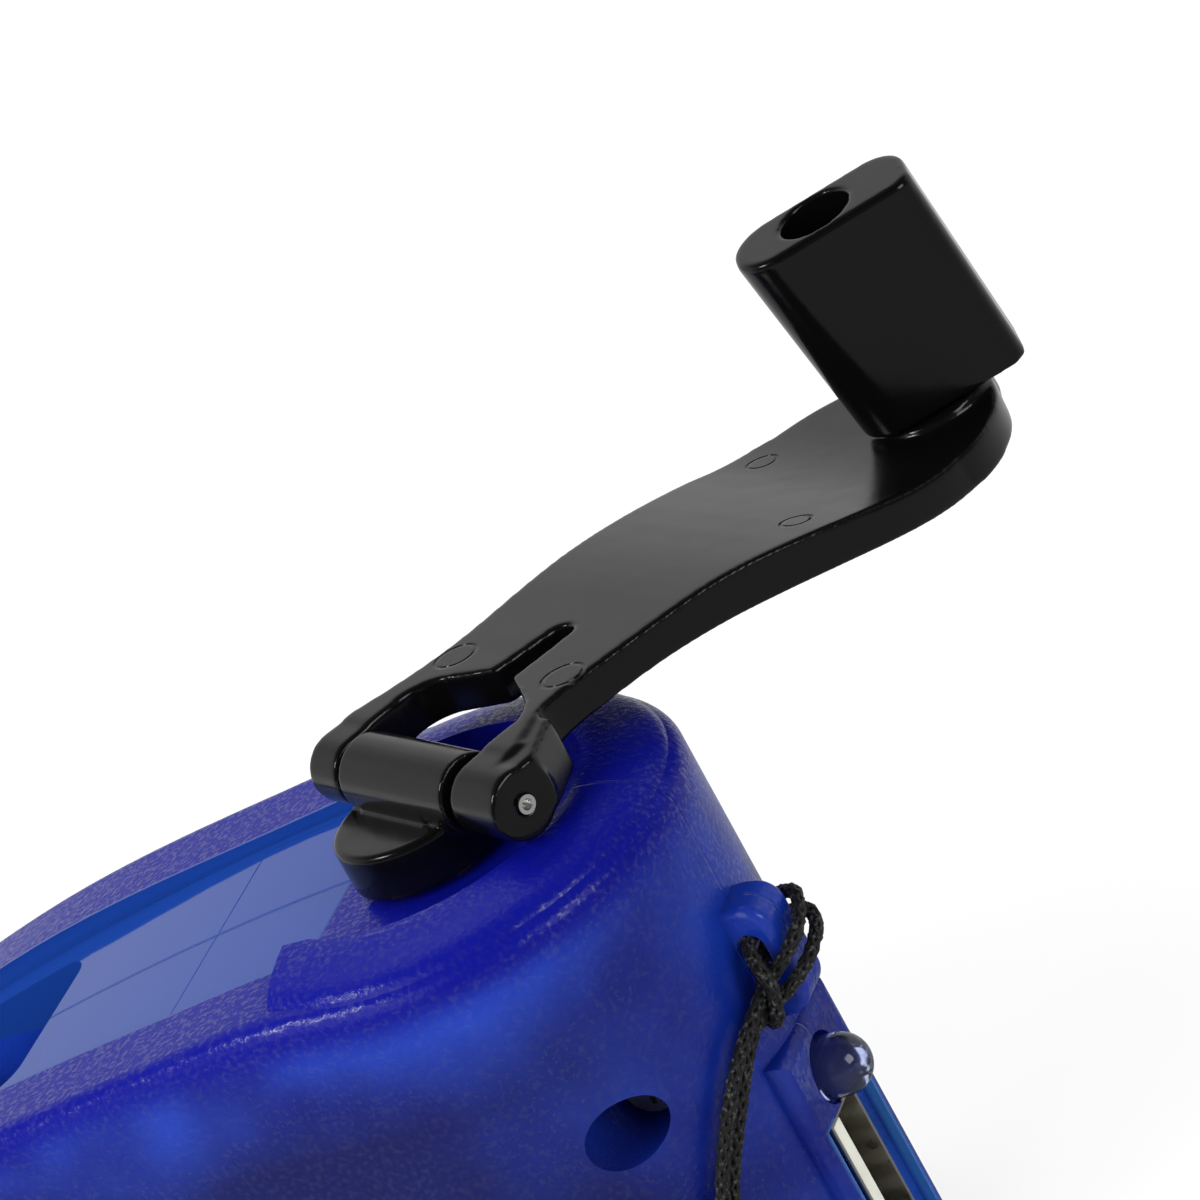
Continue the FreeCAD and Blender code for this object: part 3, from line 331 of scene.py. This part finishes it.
# polish: the channel and the well round the hub are bright, everything else is spark-textured
CHANNEL_HALF = 12.8
CHANNEL_EDGE = 0.1
CHANNEL_Z = (36.0, 36.3)
CHANNEL_X = (-8.0, -7.6)
across = node(tree, "ShaderNodeMapRange", {"Value": aside, "From Min": (CHANNEL_HALF - CHANNEL_EDGE) * MM,
                                           "From Max": CHANNEL_HALF * MM, "To Min": 1.0, "To Max": 0.0})
upper = node(tree, "ShaderNodeMapRange", {"Value": axes.outputs["Z"], "From Min": CHANNEL_Z[0] * MM,
                                          "From Max": CHANNEL_Z[1] * MM})
behind = node(tree, "ShaderNodeMapRange", {"Value": axes.outputs["X"], "From Min": CHANNEL_X[0] * MM,
                                           "From Max": CHANNEL_X[1] * MM, "To Min": 1.0, "To Max": 0.0})
polish = node(tree, "ShaderNodeMath", {0: across.outputs[0], 1: upper.outputs[0]}, operation="MULTIPLY")
polish = node(tree, "ShaderNodeMath", {0: polish.outputs[0], 1: behind.outputs[0]}, operation="MULTIPLY")
gloss = node(tree, "ShaderNodeMapRange", {"Value": polish.outputs[0], "To Min": 0.25, "To Max": 0.07})
tree.links.new(gloss.outputs[0], shader.inputs["Roughness"])
clear = node(tree, "ShaderNodeMix", {0: polish.outputs[0], 6: tint.outputs[2], 7: linear("#1b45a0")},
             data_type="RGBA")
# the walls let less light through in the thick rims than lower down and in the polished channel
THICK_WALL = 0.12
THIN_WALL = 0.42
body = node(tree, "ShaderNodeMapRange", {"Value": thin.outputs[0], "To Min": THICK_WALL, "To Max": THIN_WALL})
body = node(tree, "ShaderNodeMath", {0: body.outputs[0], 1: polish.outputs[0]}, operation="MAXIMUM")
body = node(tree, "ShaderNodeMath", {0: body.outputs[0], 1: THIN_WALL}, operation="MINIMUM")
tree.links.new(body.outputs[0], shader.inputs["Transmission Weight"])
# painted glow: the thin frame round the socket is painted pale blue, as if it piped the light
FRAME_X = (20.3, 20.9)
FRAME_IN = (2.7, 3.0)
FRAME_OUT = (4.4, 5.2)
FRAME_Z = (17.9, 18.6)
out = node(tree, "ShaderNodeMapRange", {"Value": axes.outputs["X"], "From Min": FRAME_X[0] * MM,
                                        "From Max": FRAME_X[1] * MM})
frame_in = node(tree, "ShaderNodeMapRange", {"Value": aside, "From Min": FRAME_IN[0] * MM,
                                             "From Max": FRAME_IN[1] * MM})
frame_out = node(tree, "ShaderNodeMapRange", {"Value": aside, "From Min": FRAME_OUT[0] * MM,
                                              "From Max": FRAME_OUT[1] * MM, "To Min": 1.0, "To Max": 0.0})
under = node(tree, "ShaderNodeMapRange", {"Value": axes.outputs["Z"], "From Min": FRAME_Z[0] * MM,
                                          "From Max": FRAME_Z[1] * MM, "To Min": 0.85, "To Max": 0.0})
edge = node(tree, "ShaderNodeMath", {0: out.outputs[0], 1: frame_in.outputs[0]}, operation="MULTIPLY")
edge = node(tree, "ShaderNodeMath", {0: edge.outputs[0], 1: frame_out.outputs[0]}, operation="MULTIPLY")
edge = node(tree, "ShaderNodeMath", {0: edge.outputs[0], 1: under.outputs[0]}, operation="MULTIPLY")
# the painted glow goes into the base colour here
clear = node(tree, "ShaderNodeMix", {0: edge.outputs[0], 6: clear.outputs[2], 7: linear("#4f9be6")},
             data_type="RGBA")
tree.links.new(clear.outputs[2], shader.inputs["Base Color"])
# spark texture, GRAIN from peak to peak, whose peaks are worn bright
GRAIN = 0.45
GRAIN_DEPTH = 0.06
grain = node(tree, "ShaderNodeTexNoise", {"Vector": place, "Scale": 1 / (GRAIN * MM), "Detail": 2.0})
worn = node(tree, "ShaderNodeMapRange", {"Value": grain.outputs["Fac"], "From Min": 0.5, "From Max": 0.68,
                                         "To Min": 0.04, "To Max": 0.45})
mirror = node(tree, "ShaderNodeMix", {0: polish.outputs[0], 2: worn.outputs[0], 3: 0.17})
tree.links.new(mirror.outputs[0], shader.inputs["Specular IOR Level"])
coarse = node(tree, "ShaderNodeMapRange", {"Value": polish.outputs[0], "To Min": 0.8, "To Max": 0.0})
skin = node(tree, "ShaderNodeBump", {"Height": grain.outputs["Fac"], "Strength": coarse.outputs[0],
                                     "Distance": GRAIN_DEPTH * MM})
# joint line between the halves
JOINT_HALF = (0.03, 0.22)
JOINT_DEPTH = 0.05
seam = node(tree, "ShaderNodeMapRange", {"Value": aside, "From Min": JOINT_HALF[0] * MM,
                                         "From Max": JOINT_HALF[1] * MM}, interpolation_type="SMOOTHSTEP")
joint = node(tree, "ShaderNodeBump", {"Height": seam.outputs[0], "Distance": JOINT_DEPTH * MM,
                                      "Normal": skin.outputs["Normal"]})
# raised panel in the channel, from the hub to PANEL_X, with a shallow step round it
PANEL_X = (-21.65, -21.5)
PANEL_HALF = (11.3, 11.45)
PANEL_RISE = 0.05
step_x = node(tree, "ShaderNodeMapRange", {"Value": axes.outputs["X"], "From Min": PANEL_X[0] * MM,
                                           "From Max": PANEL_X[1] * MM})
step_y = node(tree, "ShaderNodeMapRange", {"Value": aside, "From Min": PANEL_HALF[0] * MM,
                                           "From Max": PANEL_HALF[1] * MM, "To Min": 1.0, "To Max": 0.0})
panel = node(tree, "ShaderNodeMath", {0: step_x.outputs[0], 1: step_y.outputs[0]}, operation="MULTIPLY")
panel = node(tree, "ShaderNodeMath", {0: panel.outputs[0], 1: polish.outputs[0]}, operation="MULTIPLY")
raised = node(tree, "ShaderNodeBump", {"Height": panel.outputs[0], "Distance": PANEL_RISE * MM,
                                       "Normal": joint.outputs["Normal"]})
tree.links.new(raised.outputs["Normal"], shader.inputs["Normal"])
dress(blue_polycarbonate, "case_near", "case_far")


# ---------------------------------------------------------------- crank
# Hub, arm and knob are moulded in black ABS. Each CAD shape is kept, with its sharp edges eased as
# the mould leaves them, and the arm carries four round ejector marks.
def satin_black(name):
    """Black ABS with a satin skin, slightly mottled; returns its coordinates and normal as well."""
    material, tree, shader = finish_named(name, {
        "IOR": 1.5, "Specular IOR Level": 0.35, "Base Color": linear("#060607")})
    place = node(tree, "ShaderNodeTexCoord").outputs["Object"]
    mottle = node(tree, "ShaderNodeTexNoise", {"Vector": place, "Scale": 1 / (3.0 * MM), "Detail": 3.0})
    gloss = node(tree, "ShaderNodeMapRange", {"Value": mottle.outputs["Fac"], "From Min": 0.3,
                                              "From Max": 0.7, "To Min": 0.13, "To Max": 0.22})
    tree.links.new(gloss.outputs["Result"], shader.inputs["Roughness"])
    grain = node(tree, "ShaderNodeTexNoise", {"Vector": place, "Scale": 1 / (0.8 * MM), "Detail": 3.0})
    skin = node(tree, "ShaderNodeBump", {"Height": grain.outputs["Fac"], "Strength": 0.10,
                                         "Distance": 0.05 * MM})
    tree.links.new(skin.outputs["Normal"], shader.inputs["Normal"])
    return material, tree, shader, place, skin.outputs["Normal"]


EASING_CELL = 0.13


def eased(node_name, rounds, kept):
    """A copy of a CAD piece with every sharp edge worn round, thinned to a share of its faces."""
    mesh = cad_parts[node_name].data.copy()
    mesh.name = node_name + "_moulding"
    bm = bmesh.new()
    bm.from_mesh(mesh)
    bmesh.ops.remove_doubles(bm, verts=bm.verts, dist=1e-6)
    bm.to_mesh(mesh)
    bm.free()
    piece = bpy.data.objects.new(node_name + "_moulding", mesh)
    bpy.context.collection.objects.link(piece)
    cells = piece.modifiers.new("cells", "REMESH")
    cells.mode = "VOXEL"
    cells.voxel_size = EASING_CELL * MM
    cells.use_smooth_shade = True
    ease = piece.modifiers.new("ease", "SMOOTH")
    ease.factor = 0.5
    ease.iterations = rounds
    if kept < 1.0:
        thinned = piece.modifiers.new("thinned", "DECIMATE")
        thinned.ratio = kept
    piece.data.materials.clear()
    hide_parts(node_name)
    return piece


black_abs = satin_black("black_abs")[0]
arm_abs, tree, shader, place, normal = satin_black("black_abs_arm")
# ejector marks, as place along X and Y and radius, are shallow grooves on the upper side alone,
# where the skin's normal points up by more than MARKS_UP
MARKS = ((0.81, 14.86, 1.7), (13.52, 6.67, 1.7), (15.96, 45.76, 1.25), (25.73, 28.18, 1.2))
MARKS_UP = 0.3
GROOVE_HALF = 0.28
GROOVE_DEPTH = 0.3
flat = node(tree, "ShaderNodeVectorMath", {0: place, 1: (1.0, 1.0, 0.0)}, operation="MULTIPLY").outputs[0]
facing = node(tree, "ShaderNodeTexCoord").outputs["Normal"]
facing = node(tree, "ShaderNodeSeparateXYZ", {"Vector": facing})
below = node(tree, "ShaderNodeMath", {0: facing.outputs["Z"], 1: MARKS_UP}, operation="LESS_THAN")
for x, y, r in MARKS:
    away = node(tree, "ShaderNodeVectorMath", {0: flat, 1: (x * MM, y * MM, 0.0)}, operation="DISTANCE")
    off = node(tree, "ShaderNodeMath", {0: away.outputs["Value"], 1: r * MM}, operation="SUBTRACT")
    off = node(tree, "ShaderNodeMath", {0: off.outputs[0]}, operation="ABSOLUTE")
    ring = node(tree, "ShaderNodeMapRange", {"Value": off.outputs[0], "From Max": GROOVE_HALF * MM},
                interpolation_type="SMOOTHSTEP")
    ring = node(tree, "ShaderNodeMath", {0: ring.outputs[0], 1: below.outputs[0]}, operation="MAXIMUM")
    mark = node(tree, "ShaderNodeBump", {"Height": ring.outputs[0], "Strength": 1.0,
                                         "Distance": GROOVE_DEPTH * MM, "Normal": normal})
    normal = mark.outputs["Normal"]
tree.links.new(normal, shader.inputs["Normal"])
# each piece with its body, its rounds of easing, the share of its faces that is kept and its finish
for node_name, body, rounds, kept, finish in (("crank_arm", "arm", 60, 0.36, arm_abs),
                                              ("crank_hub", "hub", 14, 1.0, black_abs),
                                              ("knob", "knob", 34, 0.75, black_abs)):
    piece = eased(node_name, rounds, kept)
    piece.data.materials.append(finish)
    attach(piece, body)


# ---------------------------------------------------------------- steel pieces
# Screws, pins, spindles, gear plates, the generator's can and the socket's shell: bright zinc or
# nickel plate over steel, with fine scratches.
def uneven_gloss(tree, shader, cell, detail, low, high):
    """Roughness that wanders between two values, in patches about the size of a cell."""
    place = node(tree, "ShaderNodeTexCoord").outputs["Object"]
    scuff = node(tree, "ShaderNodeTexNoise", {"Vector": place, "Scale": 1 / cell, "Detail": detail})
    gloss = node(tree, "ShaderNodeMapRange", {"Value": scuff.outputs["Fac"], "To Min": low, "To Max": high})
    tree.links.new(gloss.outputs["Result"], shader.inputs["Roughness"])


plated_steel, tree, shader = finish_named("plated_steel", {
    "Metallic": 1.0, "Base Color": linear("#b8b6b0")})
uneven_gloss(tree, shader, 1.2 * MM, 4.0, 0.18, 0.42)
dress(plated_steel, "case_screws", "hub_screw", "gear_pin_1", "gear_pin_2", "pin_clip", "gear_plate",
      "gear_bridge", "gear_pillars", "pillar_screws", "generator_can", "generator_shaft", "rotor_core",
      "generator_screws", "usb_shell", "led_leads", "knob_spindle", "knob_screw")

# The hinge pin is a bright drawn tube, whose mouth shows at the near end of the barrel.
bright_steel, tree, shader = finish_named("bright_steel", {
    "Metallic": 1.0, "Base Color": linear("#e2e2e0")})
uneven_gloss(tree, shader, 0.4 * MM, 2.0, 0.15, 0.4)
dress(bright_steel, "hinge_pin")

# ---------------------------------------------------------------- brass pieces
# Bushes, terminals, the motor pinion and the socket's contacts: turned or stamped brass. The bushes
# are pressed into the case and the generator's can, and the pinion onto its shaft.
turned_brass, tree, shader = finish_named("turned_brass", {
    "Metallic": 1.0, "Base Color": linear("#c9a552")})
uneven_gloss(tree, shader, 0.5 * MM, 2.0, 0.2, 0.4)
dress(turned_brass, "hub_bush", "generator_bushes", "generator_terminals", "generator_pinion",
      "usb_contacts")

# ---------------------------------------------------------------- gears
# The drive gear and the two compound gears are moulded in acetal, milky and slippery. The drive
# gear is screwed under the hub, and the other two run loose on steel pins.
milky_acetal, tree, shader = finish_named("milky_acetal", {
    "IOR": 1.48, "Roughness": 0.38, "Subsurface Weight": 0.25, "Subsurface Scale": 1.0 * MM})
tree.links.new(drift(tree, 4 * MM, 2.0, "#d8d6cb", "#efeee6"), shader.inputs["Base Color"])
dress(milky_acetal, "drive_gear", "compound_gear_1", "compound_gear_2")

# ---------------------------------------------------------------- generator inside
# Sintered magnets and a ferrite choke: dark grey, matt and slightly gritty. The magnets line the
# generator's can, and the choke stands on the board.
ferrite, tree, shader = finish_named("ferrite", {"Roughness": 0.6})
tree.links.new(drift(tree, 0.2 * MM, 3.0, "#2a2a2c", "#4a4a4c"), shader.inputs["Base Color"])
dress(ferrite, "generator_magnets", "inductor")

# Enamelled copper wire, commutator bars and brushes: warm metal under clear lacquer.
enamelled_copper, tree, shader = finish_named("enamelled_copper", {
    "Metallic": 1.0, "Base Color": linear("#b4602f"), "Coat Weight": 0.4, "Coat Roughness": 0.1})
place = node(tree, "ShaderNodeTexCoord").outputs["Object"]
wind = node(tree, "ShaderNodeTexWave", {"Vector": place, "Scale": 1 / (2.0 * MM), "Distortion": 1.0},
            bands_direction="Z")
gloss = node(tree, "ShaderNodeMapRange", {"Value": wind.outputs["Fac"], "To Min": 0.25, "To Max": 0.45})
tree.links.new(gloss.outputs["Result"], shader.inputs["Roughness"])
dress(enamelled_copper, "rotor_windings", "commutator", "generator_brushes")

# ---------------------------------------------------------------- circuit board and its parts
# Glass-epoxy board under green solder mask, which the halves of the case hold between them. Its
# parts and the lamp's leads are soldered to it.
green_mask, tree, shader = finish_named("green_solder_mask", {"Roughness": 0.3, "Coat Weight": 0.5})
tree.links.new(drift(tree, 0.6 * MM, 2.0, "#0c5a32", "#147046"), shader.inputs["Base Color"])
dress(green_mask, "circuit_board")

# Moulded epoxy packages, the capacitor's sleeve and the generator's end cap: matt black.
moulded_epoxy, tree, shader = finish_named("moulded_epoxy", {"Roughness": 0.55})
tree.links.new(drift(tree, 0.25 * MM, 2.0, "#141416", "#242427"), shader.inputs["Base Color"])
dress(moulded_epoxy, "generator_end_cap", "rectifier_diodes", "capacitor", "voltage_regulator")

# ---------------------------------------------------------------- socket tongue
# The socket's tongue is moulded in ivory nylon, slightly translucent at its edges. It fills the
# back of the steel shell and carries the four contacts.
ivory_nylon, tree, shader = finish_named("ivory_nylon", {
    "IOR": 1.53, "Roughness": 0.42, "Subsurface Weight": 0.2, "Subsurface Scale": 0.6 * MM})
tree.links.new(drift(tree, 1.5 * MM, 2.0, "#d6d6c6", "#e6e6da"), shader.inputs["Base Color"])
dress(ivory_nylon, "usb_tongue")

# ---------------------------------------------------------------- lamp
# A 5 mm lamp cast in clear epoxy, with a bright dome and faint swirls inside. It looks out of the
# end of the case above the socket, on two leads from the board.
clear_epoxy, tree, shader = finish_named("clear_epoxy", {
    "IOR": 1.52, "Transmission Weight": 0.98, "Base Color": linear("#c4d2ff")})
uneven_gloss(tree, shader, 2.0 * MM, 1.0, 0.03, 0.08)
dress(clear_epoxy, "led_lamp")

# ---------------------------------------------------------------- wires
# Two soft PVC-covered leads, red and black, from the generator to the board, soldered at both
# ends.
for name, dark, light in (("wire_positive", "#a01414", "#c42020"), ("wire_negative", "#101010", "#1c1c1c")):
    pvc, tree, shader = finish_named("pvc_" + name, {"Roughness": 0.4, "IOR": 1.54})
    tree.links.new(drift(tree, 1.0 * MM, 2.0, dark, light), shader.inputs["Base Color"])
    dress(pvc, name)

# ---------------------------------------------------------------- floor and light
# A white sweep behind the charger and a dark room in front of it, under a key and a fill box that
# no mirror shows, an end box and a small box for glints. Sweep and sky are plain white to the eye;
# in mirrors they are bright on the sweep's side only.
MIRROR_DARK = 0.08
MIRROR_BRIGHT = 0.62


def white_to_the_eye(tree, mirrored):
    """Level 1 for rays seen directly or through a piece, and the given level for those in mirrors."""
    ray = node(tree, "ShaderNodeLightPath")
    shown = node(tree, "ShaderNodeMath", {0: ray.outputs["Is Glossy Ray"], 1: mirrored}, operation="MULTIPLY")
    seen = node(tree, "ShaderNodeMath", {0: ray.outputs["Is Camera Ray"],
                                         1: ray.outputs["Is Transmission Ray"]}, operation="MAXIMUM")
    level = node(tree, "ShaderNodeMath", {0: seen.outputs[0], 1: shown.outputs[0]}, operation="MAXIMUM")
    return ray, seen, level


SWEEP = Vector((LOOK.x, LOOK.y, 0.0)).normalized()
SWEEP_START = (-0.02, 0.16)
SWEEP_HALF = 6.0
SWEEP_GLOW = 0.8
floor_mesh = bpy.data.meshes.new("floor")
bm = bmesh.new()
bmesh.ops.create_grid(bm, x_segments=1, y_segments=1, size=SWEEP_HALF)
bm.to_mesh(floor_mesh)
bm.free()
floor = bpy.data.objects.new("floor", floor_mesh)
bpy.context.collection.objects.link(floor)
floor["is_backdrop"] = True
white_sweep = bpy.data.materials.new("white_sweep")
white_sweep.use_nodes = True
tree = white_sweep.node_tree
tree.nodes.clear()
place = node(tree, "ShaderNodeTexCoord").outputs["Object"]
back = node(tree, "ShaderNodeVectorMath", {0: place, 1: SWEEP}, operation="DOT_PRODUCT")
far = node(tree, "ShaderNodeMapRange", {"Value": back.outputs["Value"], "From Min": SWEEP_START[0],
                                        "From Max": SWEEP_START[1], "To Min": MIRROR_DARK,
                                        "To Max": MIRROR_BRIGHT})
ray, seen, level = white_to_the_eye(tree, far.outputs[0])
either = node(tree, "ShaderNodeMath", {0: seen.outputs[0], 1: ray.outputs["Is Glossy Ray"]},
              operation="MAXIMUM")
paper = node(tree, "ShaderNodeBsdfDiffuse", {"Color": linear("#f2f2f2")})
glow = node(tree, "ShaderNodeEmission", {"Color": (1.0, 1.0, 1.0, 1.0), "Strength": level.outputs[0]})
part = node(tree, "ShaderNodeMath", {0: either.outputs[0], 1: SWEEP_GLOW}, operation="MULTIPLY")
both = node(tree, "ShaderNodeMixShader", {0: part.outputs[0], 1: paper.outputs[0], 2: glow.outputs[0]})
node(tree, "ShaderNodeOutputMaterial", {"Surface": both.outputs[0]})
floor.data.materials.append(white_sweep)

# the sky: mirrors see it darken overhead, and it fills the shadows a little
SKY_START = (-0.25, 0.35)
CEILING_Z = (0.45, 0.75)
CEILING_LEVEL = 0.12
SKY_FILL = 0.7
sky = bpy.data.worlds.new("sky")
bpy.context.scene.world = sky
sky.use_nodes = True
tree = sky.node_tree
tree.nodes.clear()
toward = node(tree, "ShaderNodeTexCoord").outputs["Generated"]
back = node(tree, "ShaderNodeVectorMath", {0: toward, 1: SWEEP}, operation="DOT_PRODUCT")
behind = node(tree, "ShaderNodeMapRange", {"Value": back.outputs["Value"], "From Min": SKY_START[0],
                                           "From Max": SKY_START[1], "To Min": MIRROR_DARK,
                                           "To Max": MIRROR_BRIGHT}, interpolation_type="SMOOTHSTEP")
high = node(tree, "ShaderNodeSeparateXYZ", {"Vector": toward})
ceiling = node(tree, "ShaderNodeMapRange", {"Value": high.outputs["Z"], "From Min": CEILING_Z[0],
                                            "From Max": CEILING_Z[1], "To Min": 1.0,
                                            "To Max": CEILING_LEVEL}, interpolation_type="SMOOTHSTEP")
studio = node(tree, "ShaderNodeMath", {0: behind.outputs[0], 1: ceiling.outputs[0]}, operation="MULTIPLY")
ray, _, level = white_to_the_eye(tree, studio.outputs[0])
soft = node(tree, "ShaderNodeMath", {0: ray.outputs["Is Diffuse Ray"], 1: SKY_FILL}, operation="MULTIPLY")
level = node(tree, "ShaderNodeMath", {0: level.outputs[0], 1: soft.outputs[0]}, operation="MAXIMUM")
air = node(tree, "ShaderNodeBackground", {"Color": (1.0, 1.0, 1.0, 1.0), "Strength": level.outputs[0]})
node(tree, "ShaderNodeOutputWorld", {"Surface": air.outputs[0]})

# soft boxes, as name, place, the point they face, width in metres, watts and whether mirrors show them
BOXES = (("key_box", (-0.35, 0.30, 0.80), (0.0, 0.0, 0.05), 0.55, 4.0, False),
         ("end_box", (0.85, -0.30, 0.45), (0.0, 0.0, 0.03), 0.45, 2.6, True),
         ("glint_box", (-0.45, -0.42, 0.65), (0.0, 0.0, 0.04), 0.16, 1.8, True),
         ("fill_box", (-0.30, -0.70, 0.45), (0.0, 0.0, 0.04), 0.60, 6.5, False))
for name, place, target, width, watts, mirrored in BOXES:
    data = bpy.data.lights.new(name, "AREA")
    data.shape = "SQUARE"
    data.size = width
    data.energy = watts
    lamp = bpy.data.objects.new(name, data)
    bpy.context.collection.objects.link(lamp)
    lamp.location = place
    lamp.rotation_euler = (Vector(target) - Vector(place)).to_track_quat("-Z", "Y").to_euler()
    lamp.visible_glossy = mirrored

low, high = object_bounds()
